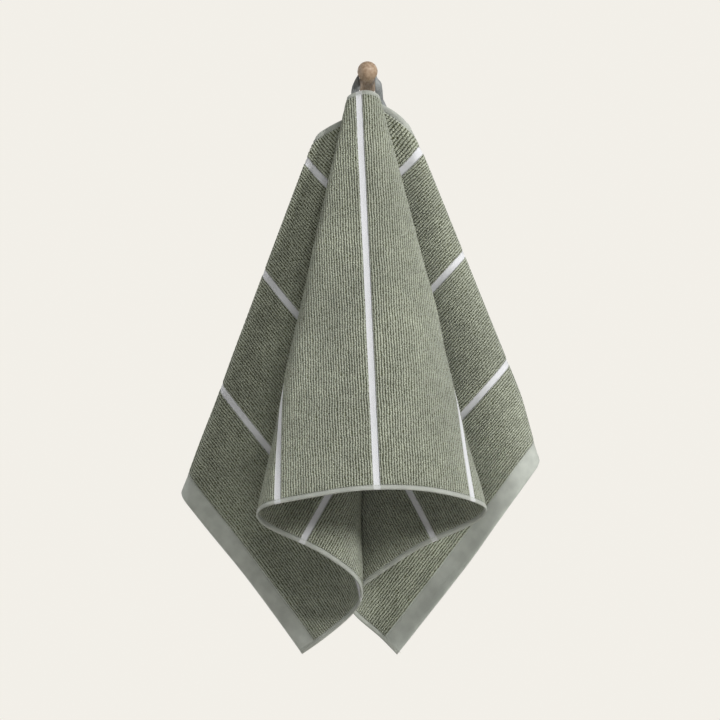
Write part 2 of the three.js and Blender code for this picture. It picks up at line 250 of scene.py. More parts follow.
def section_of(half):
    """Sideways and forward angles of the cone's rulings at even steps of the cone angle."""
    headings = []
    start = 0.0
    for leg in half["legs"] + [BACK_LEG]:
        steps = round(math.radians(leg["arc"]) / SECTION_STEP)
        headings.append(start + leg["turn"] * (np.arange(steps) + 0.5) / steps)
        start += leg["turn"]
    along = np.radians(np.concatenate(headings))
    lean = CENTRE_LEAN - np.concatenate([[0], np.cumsum(SECTION_STEP * np.sin(along))])
    middle_lean = (lean[1:] + lean[:-1]) / 2
    turned = np.cumsum(SECTION_STEP * np.cos(along) / np.cos(middle_lean))
    turn = CENTRE_TURN + half["side"] * np.concatenate([[0], turned])
    return turn, lean


def ruling_at(half, angle):
    turn_table, lean_table = half["section"]
    place = angle / SECTION_STEP
    steps = np.arange(len(turn_table))
    turn = np.interp(place, steps, turn_table)
    lean = np.interp(place, steps, lean_table)
    return np.stack([np.sin(turn) * np.cos(lean), -np.sin(lean), -np.cos(turn) * np.cos(lean)], axis=-1)


def arcs_up_to(half, count):
    return math.radians(sum(leg["arc"] for leg in half["legs"][:count]))


def prepare(half):
    """Adds the second cone's apex, in the flat towel and in space."""
    half["section"] = section_of(half)
    half["meeting"] = arcs_up_to(half, FLAP_LEGS)
    half["flat_s"] = half["apex_shift"] * math.sin(half["meeting"])
    half["flat_t"] = half["apex_shift"] * math.cos(half["meeting"]) - FLAP_GAP
    half["apex"] = FLAP_APEX + half["apex_shift"] * ruling_at(half, half["meeting"])


def half_points(half, s, t):
    skew = half["end_skew"] * smooth(t, SKEW_T["top"], SKEW_T["low"])
    reach = np.abs(s - HUNG_S) + skew * smooth(np.abs(s), SKEW_FROM, HALF_LENGTH)
    beyond = np.arctan2(reach, t + FLAP_GAP) > half["meeting"]
    across = reach - np.where(beyond, half["flat_s"], 0)
    down = t - np.where(beyond, half["flat_t"], -FLAP_GAP)
    radius = np.hypot(across, down)
    angle = np.arctan2(across, down)
    edge = 1 - smooth(angle, 0, arcs_up_to(half, FLAP_LEGS + 1))
    edge_lift = EDGE_LIFT["up"] * edge * (1 - smooth(t, 0, EDGE_LIFT["until"]))
    hang = ruling_at(half, angle)
    points = hang * (radius - edge_lift)[..., None]
    points += np.where(beyond[..., None], half["apex"], FLAP_APEX)
    towards_fold = mix(HEM_DROP["middle"], half["hem_drop"], smooth(angle, 0, HEM_DROP["crest"]))
    on_flap = 1 - smooth(angle, HEM_DROP["crest"], HEM_DROP["end"])
    hem_drop = towards_fold * on_flap * smooth(t, HEM_DROP["from"], TOWEL_WIDTH)
    points[..., 1:] += hang[..., 1:] * hem_drop[..., None]
    wing = smooth(angle, arcs_up_to(half, WING_LEG - 1), arcs_up_to(half, WING_LEG + 1))
    shoulder = mix(half["shoulder_top"], half["shoulder_low"], (radius - SHOULDER_FROM) / SHOULDER_RUN)
    points[..., 0] += half["side"] * wing * shoulder
    wing_end = arcs_up_to(half, WING_LEG + 1)
    near_fold = smooth(angle, wing_end - FOOT_DRAW["arc"], wing_end)
    foot = smooth(radius, FOOT_DRAW["from"], FOOT_DRAW["until"])
    points[..., 0] -= half["side"] * half["foot_draw"] * near_fold * foot
    crest = wing_end + WING_ROLL["crest"]
    rise = smooth(angle, wing_end + WING_ROLL["from"], crest)
    fall = smooth(angle, crest, wing_end + WING_ROLL["until"])
    points[..., 1] -= half["wing_roll"] * radius * rise * (1 - fall)
    past = np.maximum(0, (np.abs(s) - END_CURL["from"]) / (HALF_LENGTH - END_CURL["from"]))
    curl = half["end_curl"]
    on_wing = 1 - smooth(angle, wing_end - curl["fade"], wing_end - curl["flat"])
    points[..., 1] -= curl["forward"] * past ** END_CURL["bend"] * on_wing
    wing_top = smooth(angle, arcs_up_to(half, FLAP_LEGS), arcs_up_to(half, WING_LEG))
    wing_lift = wing_top * (1 - smooth(radius, WING_LIFT["from"], WING_LIFT["until"]))
    points[..., 0] += half["wing_lift"]["x"] * wing_lift
    points[..., 2] += half["wing_lift"]["z"] * wing_lift
    return points


def towel_points(s, t):
    s, t = np.broadcast_arrays(np.asarray(s, float), np.asarray(t, float))
    left = half_points(LEFT_HALF, s, t)
    right = half_points(RIGHT_HALF, s, t)
    return np.where((s < HUNG_S)[..., None], left, right)


def unit(vectors):
    return vectors / np.linalg.norm(vectors, axis=-1, keepdims=True)


def towel_slopes(s, t):
    along = towel_points(s + SLOPE_STEP, t) - towel_points(s - SLOPE_STEP, t)
    down = towel_points(s, t + SLOPE_STEP) - towel_points(s, t - SLOPE_STEP)
    return unit(along), unit(down)


def towel_frame(s, t):
    """Points, slopes and the normal of the face that looks forward on the flap, with the soft waves."""
    along, down = towel_slopes(s, t)
    normal = unit(np.cross(down, along))
    rise = sum(
        wave["height"] * np.sin(2 * math.pi * (s / wave["along"] + t / wave["down"]) + wave["start"])
        for wave in WAVES
    )
    points = towel_points(s, t) + normal * (rise * smooth(t, WAVES_START, WAVES_FULL))[..., None]
    return points, along, down, normal


def profile_at(profile, inward):
    return np.interp(inward, [row["inward"] for row in profile], [row["thick"] for row in profile])


def thickness_at(s, t):
    body = profile_at(BORDER_PROFILE, HALF_LENGTH - np.abs(s))
    for centre in STRIPES:
        off = np.abs(s - centre)
        dip = 1 - smooth(off, STRIPE_WIDTH / 2, STRIPE_WIDTH / 2 + STRIPE_EDGE)
        body = mix(body, STRIPE_THICKNESS, dip)
    to_hem = np.minimum(t, TOWEL_WIDTH - t)
    hem = profile_at(HEM_PROFILE, to_hem)
    return mix(hem, body, smooth(to_hem, HEM_PROFILE[-2]["inward"], HEM_PROFILE[-1]["inward"]))


# Meshes and their materials.


def spaced(marks, step):
    """The marks, with even steps of about the given length between them."""
    lines = [marks[0]]
    for low, high in zip(marks, marks[1:]):
        count = max(1, round((high - low) / step))
        lines += [mix(low, high, (i + 1) / count) for i in range(count)]
    return np.array(lines)


def mesh_piece(name, points, faces, material, uv=None):
    """A smooth mesh that rides on the body, with a flat map of its points in metres."""
    mesh = bpy.data.meshes.new(name)
    mesh.from_pydata(np.asarray(points).tolist(), [], faces)
    mesh.shade_smooth()
    if uv is not None:
        corners = np.zeros(len(mesh.loops), np.int32)
        mesh.loops.foreach_get("vertex_index", corners)
        layer = mesh.uv_layers.new(name="flat")
        layer.data.foreach_set("uv", np.asarray(uv, np.float32)[corners].ravel())
    mesh.materials.append(material)
    piece = bpy.data.objects.new(name, mesh)
    bpy.context.scene.collection.objects.link(piece)
    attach(piece, "root")
    return piece


class Shader:
    """A material's node tree, built from short calls."""

    def __init__(self, name, roughness):
        self.material = bpy.data.materials.new(name)
        self.material.use_nodes = True
        self.tree = self.material.node_tree
        self.surface = self.tree.nodes["Principled BSDF"]
        self.surface.inputs["Roughness"].default_value = roughness

    def put(self, socket, value):
        if isinstance(value, bpy.types.NodeSocket):
            self.tree.links.new(value, socket)
        elif isinstance(value, tuple) and len(value) == 3 and socket.type == "RGBA":
            socket.default_value = (*value, 1)
        else:
            socket.default_value = value

    def math(self, operation, *values):
        node = self.tree.nodes.new("ShaderNodeMath")
        node.operation = operation
        for socket, value in zip(node.inputs, values):
            self.put(socket, value)
        return node.outputs[0]

    def step(self, value, low, high, start=0.0, end=1.0):
        """start below low, end above high, smooth between."""
        node = self.tree.nodes.new("ShaderNodeMapRange")
        node.interpolation_type = "SMOOTHSTEP"
        for socket, given in zip(node.inputs, (value, low, high, start, end)):
            self.put(socket, given)
        return node.outputs[0]

    def mix(self, part, low, high):
        node = self.tree.nodes.new("ShaderNodeMix")
        node.data_type = "RGBA"
        self.put(node.inputs["Factor"], part)
        self.put(node.inputs["A"], low)
        self.put(node.inputs["B"], high)
        return node.outputs["Result"]

    def shade(self, colour, amount):
        """The colour times a grey amount."""
        node = self.tree.nodes.new("ShaderNodeVectorMath")
        node.operation = "SCALE"
        self.put(node.inputs[0], colour)
        self.put(node.inputs["Scale"], amount)
        return node.outputs[0]

    def flat_map(self):
        node = self.tree.nodes.new("ShaderNodeUVMap")
        node.uv_map = "flat"
        split = self.tree.nodes.new("ShaderNodeSeparateXYZ")
        self.tree.links.new(node.outputs[0], split.inputs[0])
        return split.outputs[0], split.outputs[1]

    def place(self, x, y, z=0.0):
        node = self.tree.nodes.new("ShaderNodeCombineXYZ")
        for socket, value in zip(node.inputs, (x, y, z)):
            self.put(socket, value)
        return node.outputs[0]

    def noise(self, place, scale, detail=2.0):
        node = self.tree.nodes.new("ShaderNodeTexNoise")
        self.put(node.inputs["Vector"], place)
        self.put(node.inputs["Scale"], scale)
        self.put(node.inputs["Detail"], detail)
        return node.outputs[0]

    def cells(self, x, y, randomness):
        """The distance from the middle of the nearest cell, and a number of each cell's own."""
        node = self.tree.nodes.new("ShaderNodeTexVoronoi")
        node.voronoi_dimensions = "2D"
        self.put(node.inputs["Vector"], self.place(x, y))
        self.put(node.inputs["Scale"], 1.0)
        self.put(node.inputs["Randomness"], randomness)
        split = self.tree.nodes.new("ShaderNodeSeparateColor")
        self.tree.links.new(node.outputs["Color"], split.inputs[0])
        return node.outputs["Distance"], split.outputs[0]

    def wave(self, value, pitch):
        """A sine of the value, one turn in each pitch."""
        return self.math("SINE", self.math("MULTIPLY", value, 2 * math.pi / pitch))

    def weave(self, weft, warp):
        """The crossing of two waves, from 0 to 1."""
        return self.math("MULTIPLY_ADD", self.math("MULTIPLY", weft, warp), 0.5, 0.5)

    def object_place(self):
        return self.tree.nodes.new("ShaderNodeTexCoord").outputs["Object"]

    def bump(self, height, distance):
        node = self.tree.nodes.new("ShaderNodeBump")
        self.put(node.inputs["Height"], height)
        self.put(node.inputs["Distance"], distance)
        self.put(node.inputs["Strength"], 1.0)
        self.put(self.surface.inputs["Normal"], node.outputs[0])

    def colour(self, value):
        self.put(self.surface.inputs["Base Color"], value)

    def sheen(self, weight, roughness, tint):
        self.put(self.surface.inputs["Sheen Weight"], weight)
        self.put(self.surface.inputs["Sheen Roughness"], roughness)
        self.put(self.surface.inputs["Sheen Tint"], tint)


PILE_CREST = (0.470, 0.498, 0.388)
# Painted shade: the pile's grooves and the gaps between its loops are painted near black, standing in for
# the shadow deep in the pile.
PILE_GROOVE_SHADE = (0.082, 0.088, 0.032)
STRIPE_WHITE = (0.85, 0.855, 0.87)
STRIPE_THREAD = (0.665, 0.67, 0.685)
BORDER_GREEN = (0.52, 0.545, 0.49)
HEM_GREEN = (0.455, 0.473, 0.42)
SOFT_EDGE = 0.0009
CELL_SPREAD = 0.7
# Noise scales over the flat towel, in turns a metre, from the broadest to the finest.
BROAD_SCALE = 9.0
WANDER_SCALE = 38.0
PATCH_SCALE = 60.0
FINE_SCALE = 420.0
FUZZ_SCALE = 1500.0
# The middle half of a noise's range, and a narrower middle for sharper changes.
NOISE_RANGE = (0.25, 0.75)
SHARP_RANGE = (0.3, 0.7)
STRIPE_RAGGED = 0.0016
FINE_WANDER = 0.8
# The pile's relief: loops in rows, with fuzz on them and the flat weave lower down.
LOOP_DOME = (0.12, 0.72)
LOOP_SHARE = 0.34
RIB_SHARE = 0.66
FUZZ_SHARE = 0.15
WEAVE_SHARE = 0.10
PILE_RELIEF = 0.0026
# From the relief's height to the pile's colour: painted groove shade below, the crest's colour above.
GROOVE_SHADE_TO_CREST = (0.20, 0.80)
# Changes of tone, as the lowest and highest share of the colour.
BROAD_TONE = (0.86, 1.12)
PATCH_TONE = (0.90, 1.10)
LOOP_TONE = (0.94, 1.06)
FUZZ_TONE = (0.92, 1.08)
WEAVE_TONE = (0.88, 1.06)
WEFT_PITCH = 0.0011
WARP_PITCH = 0.0009
HEM_STRIPE_SHARE = 0.55
SHEEN = {"weight": 0.35, "roughness": 0.45, "tint": (0.92, 0.96, 0.90)}

THREAD_DARK = (0.36, 0.38, 0.33)
THREAD_LIGHT = (0.52, 0.54, 0.49)
TWIST_SCALE = 2600.0
THREAD_RELIEF = 0.0002

TAPE_DARK = (0.25, 0.262, 0.258)
TAPE_LIGHT = (0.41, 0.427, 0.42)
TAPE_WEFT_PITCH = 0.0010
TAPE_WARP_PITCH = 0.0008
TAPE_PATCH_SCALE = 240.0
TAPE_PATCH_TONE = (0.88, 1.08)
TAPE_EDGE = (0.38, 0.42)
TAPE_EDGE_TONE = 0.86
TAPE_RELIEF = 0.0003

WOOD_LIGHT = (0.465, 0.348, 0.243)
WOOD_DARK = (0.285, 0.192, 0.119)
WOOD_BROAD = (0.348, 0.244, 0.155)
WOOD_STRETCH = 0.13
GRAIN_SCALE = 330.0
GRAIN_RANGE = (0.34, 0.66)
PORE_SCALE = 1900.0
PORE_RANGE = (0.30, 0.46)
WOOD_BROAD_SCALE = 70.0
WOOD_BROAD_RANGE = (0.35, 0.65)
WOOD_BROAD_SHARE = 0.45
PORE_TONE = 0.80
TURNING_PITCH = 0.0007
TURNING_SHARE = 0.12
WOOD_RELIEF = 0.00012
WOOD_ROUGHNESS = (0.62, 0.46)


def terry_material():
    """Ribbed pile rows across the length with painted shade in their grooves, flat white stripes, flat end
    borders and hems.
    """
    shader = Shader("terry", roughness=0.95)
    u, v = shader.flat_map()
    flat = shader.place(u, v)
    fine = shader.math("SUBTRACT", shader.noise(flat, FINE_SCALE), 0.5)

    def distance_from(value, middle):
        return shader.math("ABSOLUTE", shader.math("SUBTRACT", value, middle))

    def within(distance, width):
        return shader.step(distance, width - SOFT_EDGE, width + SOFT_EDGE, 1, 0)

    to_end = shader.math("SUBTRACT", HALF_LENGTH, distance_from(u, HALF_LENGTH))
    to_hem = shader.math("SUBTRACT", TOWEL_WIDTH / 2, distance_from(v, TOWEL_WIDTH / 2))
    offs = [distance_from(u, centre + HALF_LENGTH) for centre in STRIPES]
    off_stripe = functools.reduce(lambda near, off: shader.math("MINIMUM", near, off), offs)
    off_stripe = shader.math("MULTIPLY_ADD", fine, STRIPE_RAGGED, off_stripe)
    stripe = within(off_stripe, STRIPE_WIDTH / 2)
    border = within(to_end, BORDER_WIDTH)
    hem = within(to_hem, HEM_WIDTH)
    bare = shader.math("MAXIMUM", shader.math("MAXIMUM", stripe, border), hem)
    pile = shader.math("SUBTRACT", 1.0, bare)

    wander = shader.math("SUBTRACT", shader.noise(flat, WANDER_SCALE), 0.5)
    wander = shader.math("MULTIPLY_ADD", fine, FINE_WANDER, wander)
    rib_place = shader.math("ADD", shader.math("DIVIDE", u, RIB_PITCH), wander)
    loop_place = shader.math("DIVIDE", v, LOOP_PITCH)
    rib = shader.math("ABSOLUTE", shader.wave(rib_place, 2.0))
    middle = shader.math("ADD", rib_place, CELL_SPREAD / 2 - 0.5)
    from_loop, own = shader.cells(middle, loop_place, CELL_SPREAD)
    dome = shader.step(from_loop, *LOOP_DOME, 1, 0)
    loops = shader.math("MULTIPLY_ADD", dome, LOOP_SHARE, shader.math("MULTIPLY", rib, RIB_SHARE))
    fuzz = shader.noise(flat, FUZZ_SCALE)

    broad = shader.step(shader.noise(flat, BROAD_SCALE, detail=3.0), *NOISE_RANGE, *BROAD_TONE)
    patchy = shader.step(shader.noise(flat, PATCH_SCALE), *NOISE_RANGE, *PATCH_TONE)
    tone = shader.math("MULTIPLY", broad, patchy)
    loop_tone = shader.step(own, 0, 1, *LOOP_TONE)
    grain = shader.math("MULTIPLY", loop_tone, shader.step(fuzz, *NOISE_RANGE, *FUZZ_TONE))
    # Painted shade: the pile's colour runs from the dark groove shade to the crest's colour with the
    # height of the ribs and loops.
    pile_colour_and_groove_shade = shader.mix(shader.step(loops, *GROOVE_SHADE_TO_CREST), PILE_GROOVE_SHADE, PILE_CREST)
    pile_colour_and_groove_shade = shader.shade(pile_colour_and_groove_shade, shader.math("MULTIPLY", tone, grain))

    weave = shader.weave(shader.wave(v, WEFT_PITCH), shader.wave(u, WARP_PITCH))
    stripe_colour = shader.mix(weave, STRIPE_THREAD, STRIPE_WHITE)
    flat_tone = shader.math("MULTIPLY", shader.step(weave, 0, 1, *WEAVE_TONE), patchy)
    border_colour = shader.shade(BORDER_GREEN, flat_tone)
    hem_stripe = shader.math("MULTIPLY", stripe, HEM_STRIPE_SHARE)
    hem_colour = shader.mix(hem_stripe, HEM_GREEN, STRIPE_WHITE)
    colour = shader.mix(stripe, pile_colour_and_groove_shade, stripe_colour)
    colour = shader.mix(border, colour, border_colour)
    shader.colour(shader.mix(hem, colour, shader.shade(hem_colour, flat_tone)))

    pile_height = shader.math("MULTIPLY", pile, shader.math("MULTIPLY_ADD", fuzz, FUZZ_SHARE, loops))
    bare_weave = shader.math("MULTIPLY", bare, weave)
    shader.bump(shader.math("MULTIPLY_ADD", bare_weave, WEAVE_SHARE, pile_height), PILE_RELIEF)
    shader.sheen(**SHEEN)
    return shader.material


def thread_material():
    """Twisted cotton thread a little lighter than the hems."""
    shader = Shader("thread", roughness=0.8)
    twist = shader.noise(shader.object_place(), TWIST_SCALE, detail=1.0)
    shader.colour(shader.mix(shader.step(twist, *SHARP_RANGE), THREAD_DARK, THREAD_LIGHT))
    shader.bump(twist, THREAD_RELIEF)
    return shader.material


def tape_material():
    """A close plain weave with firm edges."""
    shader = Shader("tape", roughness=0.85)
    u, v = shader.flat_map()
    weave = shader.weave(shader.wave(u, TAPE_WEFT_PITCH), shader.wave(v, TAPE_WARP_PITCH))
    patches = shader.noise(shader.place(u, v), TAPE_PATCH_SCALE)
    patch = shader.step(patches, *SHARP_RANGE, *TAPE_PATCH_TONE)
    edge_from, edge_full = (TAPE_WIDTH * share for share in TAPE_EDGE)
    edge = shader.step(shader.math("ABSOLUTE", v), edge_from, edge_full, 1, TAPE_EDGE_TONE)
    colour = shader.mix(weave, TAPE_DARK, TAPE_LIGHT)
    shader.colour(shader.shade(colour, shader.math("MULTIPLY", patch, edge)))
    shader.bump(weave, TAPE_RELIEF)
    return shader.material


def wood_material():
    """Pale turned wood: grain along the peg, fine pores and faint turning lines."""
    shader = Shader("peg_wood", roughness=0.55)
    _, along = shader.flat_map()
    turn = shader.tree.nodes.new("ShaderNodeMapping")
    turn.inputs["Rotation"].default_value = (PEG_TILT, 0, 0)
    turn.inputs["Scale"].default_value = (1, WOOD_STRETCH, 1)
    shader.put(turn.inputs["Vector"], shader.object_place())
    stretched = turn.outputs[0]
    grain = shader.noise(stretched, GRAIN_SCALE, detail=4.0)
    pores = shader.noise(stretched, PORE_SCALE)
    clouds = shader.noise(stretched, WOOD_BROAD_SCALE)
    broad = shader.step(clouds, *WOOD_BROAD_RANGE, 0, WOOD_BROAD_SHARE)
    colour = shader.mix(shader.step(grain, *GRAIN_RANGE), WOOD_DARK, WOOD_LIGHT)
    colour = shader.mix(broad, colour, WOOD_BROAD)
    shader.colour(shader.shade(colour, shader.step(pores, *PORE_RANGE, PORE_TONE, 1)))
    rings = shader.wave(along, TURNING_PITCH)
    shader.bump(shader.math("MULTIPLY_ADD", rings, TURNING_SHARE, pores), WOOD_RELIEF)
    roughness = shader.step(grain, *SHARP_RANGE, *WOOD_ROUGHNESS)
    shader.put(shader.surface.inputs["Roughness"], roughness)
    return shader.material


# The towel's cloth.


def towel_lines():
    """The grid's lines along s and along t, on every edge of a stripe, hem and border."""
    ends = [HALF_LENGTH - row["inward"] for row in BORDER_PROFILE]
    along = [*(-end for end in ends), *ends]
    for centre in STRIPES:
        for side in (-1, 1):
            edge = centre + side * STRIPE_WIDTH / 2
            along += [edge, edge + side * STRIPE_EDGE]
    hems = [row["inward"] for row in HEM_PROFILE]
    upper = spaced([*hems, UPPER_ROWS_END], UPPER_ROW_STEP)
    lower = spaced([UPPER_ROWS_END, *(TOWEL_WIDTH - hem for hem in reversed(hems))], LOWER_ROW_STEP)
    return spaced(sorted(along), COLUMN_STEP), np.concatenate([upper, lower[1:]])


def grid_faces(columns, rows, first, turned):
    faces = []
    for i in range(columns - 1):
        for j in range(rows - 1):
            corner = first + i * rows + j
            face = (corner, corner + 1, corner + rows + 1, corner + rows)
            faces.append(face[::-1] if turned else face)
    return faces


def towel_cloth():
    """A closed sheet: two faces joined by a rounded edge at the flat towel's true size."""
    lines_s, lines_t = towel_lines()
    s, t = (grid.ravel() for grid in np.meshgrid(lines_s, lines_t, indexing="ij"))
    points, along, down, normal = towel_frame(s, t)
    half_thick = (thickness_at(s, t) / 2)[:, None]
    columns, rows = len(lines_s), len(lines_t)
    count = columns * rows
    faces = grid_faces(columns, rows, 0, False) + grid_faces(columns, rows, count, True)

    left = list(range(rows))
    low = [i * rows + rows - 1 for i in range(1, columns)]
    right = [(columns - 1) * rows + j for j in range(rows - 2, -1, -1)]
    top = [i * rows for i in range(columns - 2, 0, -1)]
    ring = np.array(left + low + right + top)
    out_s = np.where(s[ring] <= lines_s[0], -1, np.where(s[ring] >= lines_s[-1], 1, 0))
    out_t = np.where(t[ring] <= lines_t[0], -1, np.where(t[ring] >= lines_t[-1], 1, 0))
    rim = points[ring] + EDGE_INSET * (out_s[:, None] * along[ring] + out_t[:, None] * down[ring])
    for k in range(len(ring)):
        after = (k + 1) % len(ring)
        a, b = int(ring[k]), int(ring[after])
        faces.append((b, a, 2 * count + k, 2 * count + after))
        faces.append((2 * count + after, 2 * count + k, a + count, b + count))
    uv_faces = np.stack([s + HALF_LENGTH, t], axis=1)
    uv_rim = np.stack([s[ring] + EDGE_INSET * out_s + HALF_LENGTH, t[ring] + EDGE_INSET * out_t], axis=1)
    vertices = np.concatenate([points + normal * half_thick, points - normal * half_thick, rim])
    uv = np.concatenate([uv_faces, uv_faces, uv_rim])
    cloth = mesh_piece("towel_cloth", vertices, faces, terry_material(), uv)
    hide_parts("towel")
    return cloth


# Stitches lie on both faces of the cloth.


def stitch_row(s, t, run_s, run_t):
    """Starts and ends of stitches centred at flat points, in a flat direction."""
    half = STITCH_LENGTH / 2
    return np.stack([s - run_s * half, t - run_t * half, s + run_s * half, t + run_t * half], axis=1)


def stitch_layout():
    """Flat ends of every stitch: along the hems, along the borders and across the four corners."""
    rows = []
    along = np.arange(-HALF_LENGTH + STITCH_PITCH, HALF_LENGTH, STITCH_PITCH)
    for t in (HEM_STITCH_INWARD, TOWEL_WIDTH - HEM_STITCH_INWARD):
        rows.append(stitch_row(along, np.full_like(along, t), 1, 0))
    down = np.arange(HEM_WIDTH + STITCH_PITCH, TOWEL_WIDTH - HEM_WIDTH, STITCH_PITCH)
    for side in (-1, 1):
        s = np.full_like(down, side * (HALF_LENGTH - BORDER_STITCH_INWARD))
        rows.append(stitch_row(s, down, 0, 1))
        tack_s = side * (HALF_LENGTH - np.linspace(TACK_START, TACK_INWARD, TACK_STITCHES))
        for t in (TACK_WIDTH / 2 + EDGE_INSET, TOWEL_WIDTH - TACK_WIDTH / 2 - EDGE_INSET):
            half = TACK_WIDTH / 2
            flat_t = np.full_like(tack_s, t)
            rows.append(np.stack([tack_s, flat_t - half, tack_s, flat_t + half], axis=1))
    return np.concatenate(rows)


def thread_points(starts, ends, ups):
    """Short round threads, pinched at both ends, from start to end, arched along up."""
    run = unit(ends - starts)
    across = unit(np.cross(ups, run))
    rings = []
    for station in STITCH_STATIONS:
        middle = mix(starts, ends, station["along"]) + ups * station["arch"] * STITCH_RADIUS
        for k in range(STITCH_SIDES):
            angle = 2 * math.pi * k / STITCH_SIDES
            spoke = across * math.cos(angle) + ups * math.sin(angle)
            rings.append(middle + spoke * station["radius"] * STITCH_RADIUS)
    points = np.stack(rings, axis=1)
    per_stitch = len(STITCH_STATIONS) * STITCH_SIDES
    faces = []
    for n in range(len(starts)):
        first = n * per_stitch
        for ring in range(len(STITCH_STATIONS) - 1):
            for k in range(STITCH_SIDES):
                a = first + ring * STITCH_SIDES + k
                b = first + ring * STITCH_SIDES + (k + 1) % STITCH_SIDES
                faces.append((a, b, b + STITCH_SIDES, a + STITCH_SIDES))
        faces.append(tuple(first + k for k in reversed(range(STITCH_SIDES))))
        faces.append(tuple(first + per_stitch - STITCH_SIDES + k for k in range(STITCH_SIDES)))
    return points.reshape(-1, 3), faces


def hem_stitching():
    flat = stitch_layout()
    starts, ends, ups = [], [], []
    for face in (1, -1):
        ends_of_stitch = []
        for s, t in ((flat[:, 0], flat[:, 1]), (flat[:, 2], flat[:, 3])):
            points, _, _, normal = towel_frame(s, t)
            ends_of_stitch.append(points + face * normal * (thickness_at(s, t) / 2)[:, None])
        starts.append(ends_of_stitch[0])
        ends.append(ends_of_stitch[1])
        ups.append(face * normal)
    points, faces = thread_points(np.concatenate(starts), np.concatenate(ends), np.concatenate(ups))
    return mesh_piece("hem_stitching", points, faces, thread_material())


# The tape loop.


def peg_axes():
    """The peg's own directions: out along its axis, up and across."""
    out = np.array([0, -math.cos(PEG_TILT), math.sin(PEG_TILT)])
    up = np.array([0, math.sin(PEG_TILT), math.cos(PEG_TILT)])
    return out, up, np.array([1.0, 0, 0])


def neck_radius(along):
    return float(np.interp(along, [row["along"] for row in NECK], [row["radius"] for row in NECK]))


def tape_stations():
    """Points on the tape's middle line, and the way its outer face looks."""
    out, up, across = peg_axes()
    radius = neck_radius(TAPE_ALONG - TAPE_WIDTH / 2) + TAPE_SEAT + TAPE_THICKNESS / 2
    middle = out * TAPE_ALONG

    def on_neck(degrees):
        angle = math.radians(degrees)
        outward = across * math.cos(angle) + up * math.sin(angle)
        return middle + outward * radius, outward

    def on_hem(s, t, turn):
        along, down = towel_slopes(s, t)
        face = unit(np.cross(down, along))
        point = towel_points(s, t)
        rises = [np.dot(towel_points(s + side * TAPE_WIDTH / 2, t) - point, face) for side in (-1, 1)]
        hollow = max(0, *(-rise for rise in rises))
        away = PILE_THICKNESS / 2 + TAPE_SEAT + TAPE_THICKNESS / 2 + hollow
        return point - face * away, face * turn

    def beside(end):
        point = middle + across * end["side"] * end["out"] - up * end["drop"]
        return point, unit(across * end["side"] + out * end["forward"])

    def strand(end):
        sewn = [end["overlap"], end["overlap"] / 2, 0, -end["rise"]]
        return [*(on_hem(end["s"] + end["slant"] * t, t, end["turn"]) for t in sewn), beside(end)]

    over = range(TAPE_WRAP, 180 - TAPE_WRAP - 1, -TAPE_WRAP_STEP)
    stations = [*strand(LEFT_STRAND), *(on_neck(degrees) for degrees in over)]
    stations += reversed(strand(RIGHT_STRAND))
    return np.array([point for point, _ in stations]), np.array([face for _, face in stations])


def curve_through(points, count):
    """A centripetal Catmull-Rom curve through the points, and its slopes."""
    padded = np.concatenate([[2 * points[0] - points[1]], points, [2 * points[-1] - points[-2]]])
    places = np.linspace(0, len(points) - 1, count)
    first = np.minimum(places.astype(int), len(points) - 2)
    part = (places - first)[:, None]
    before, low, high, after = (padded[first + k] for k in range(4))

    def gap(a, b):
        return np.sqrt(np.linalg.norm(b - a, axis=1))[:, None]

    start, span, end = gap(before, low), gap(low, high), gap(high, after)
    step = (high - low) / span
    slope_low = ((low - before) / start - (high - before) / (start + span) + step) * span
    slope_high = (step - (after - low) / (span + end) + (after - high) / end) * span
    square = -3 * low + 3 * high - 2 * slope_low - slope_high
    cube = 2 * low - 2 * high + slope_low + slope_high
    curve = low + slope_low * part + square * part**2 + cube * part**3
    return curve, slope_low + 2 * square * part + 3 * cube * part**2


def tape_frame(count):
    stations, faces = tape_stations()
    middle, slope = curve_through(stations, count)
    facing, _ = curve_through(faces, count)
    tangent = unit(slope)
    across = unit(np.cross(facing, tangent))
    return middle, tangent, across, np.cross(tangent, across)


TAPE_OUTLINE = [
    {"across": -0.5, "out": -0.1},
    {"across": -0.47, "out": -0.5},
    {"across": 0.0, "out": -0.5},
    {"across": 0.47, "out": -0.5},
    {"across": 0.5, "out": -0.1},
    {"across": 0.5, "out": 0.1},
    {"across": 0.47, "out": 0.5},
    {"across": 0.0, "out": 0.5},
    {"across": -0.47, "out": 0.5},
    {"across": -0.5, "out": 0.1},
]


def loop_tape():
    middle, _, across, facing = tape_frame(TAPE_STEPS + 1)
    lengths = np.linalg.norm(np.diff(middle, axis=0), axis=1)
    run = np.concatenate([[0], np.cumsum(lengths)])
    sides = len(TAPE_OUTLINE)
    points, uv, faces = [], [], []
    for i in range(TAPE_STEPS + 1):
        for corner in TAPE_OUTLINE:
            offset = across[i] * corner["across"] * TAPE_WIDTH + facing[i] * corner["out"] * TAPE_THICKNESS
            points.append(middle[i] + offset)
            uv.append((run[i], corner["across"] * TAPE_WIDTH))
    for i in range(TAPE_STEPS):
        for k in range(sides):
            a, b = i * sides + k, i * sides + (k + 1) % sides
            faces.append((a, b, b + sides, a + sides))
    faces.append(tuple(reversed(range(sides))))
    faces.append(tuple(TAPE_STEPS * sides + k for k in range(sides)))
    tape = mesh_piece("loop_tape", points, faces, tape_material(), uv)
    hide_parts("hanging_loop")
    return tape


# The peg.


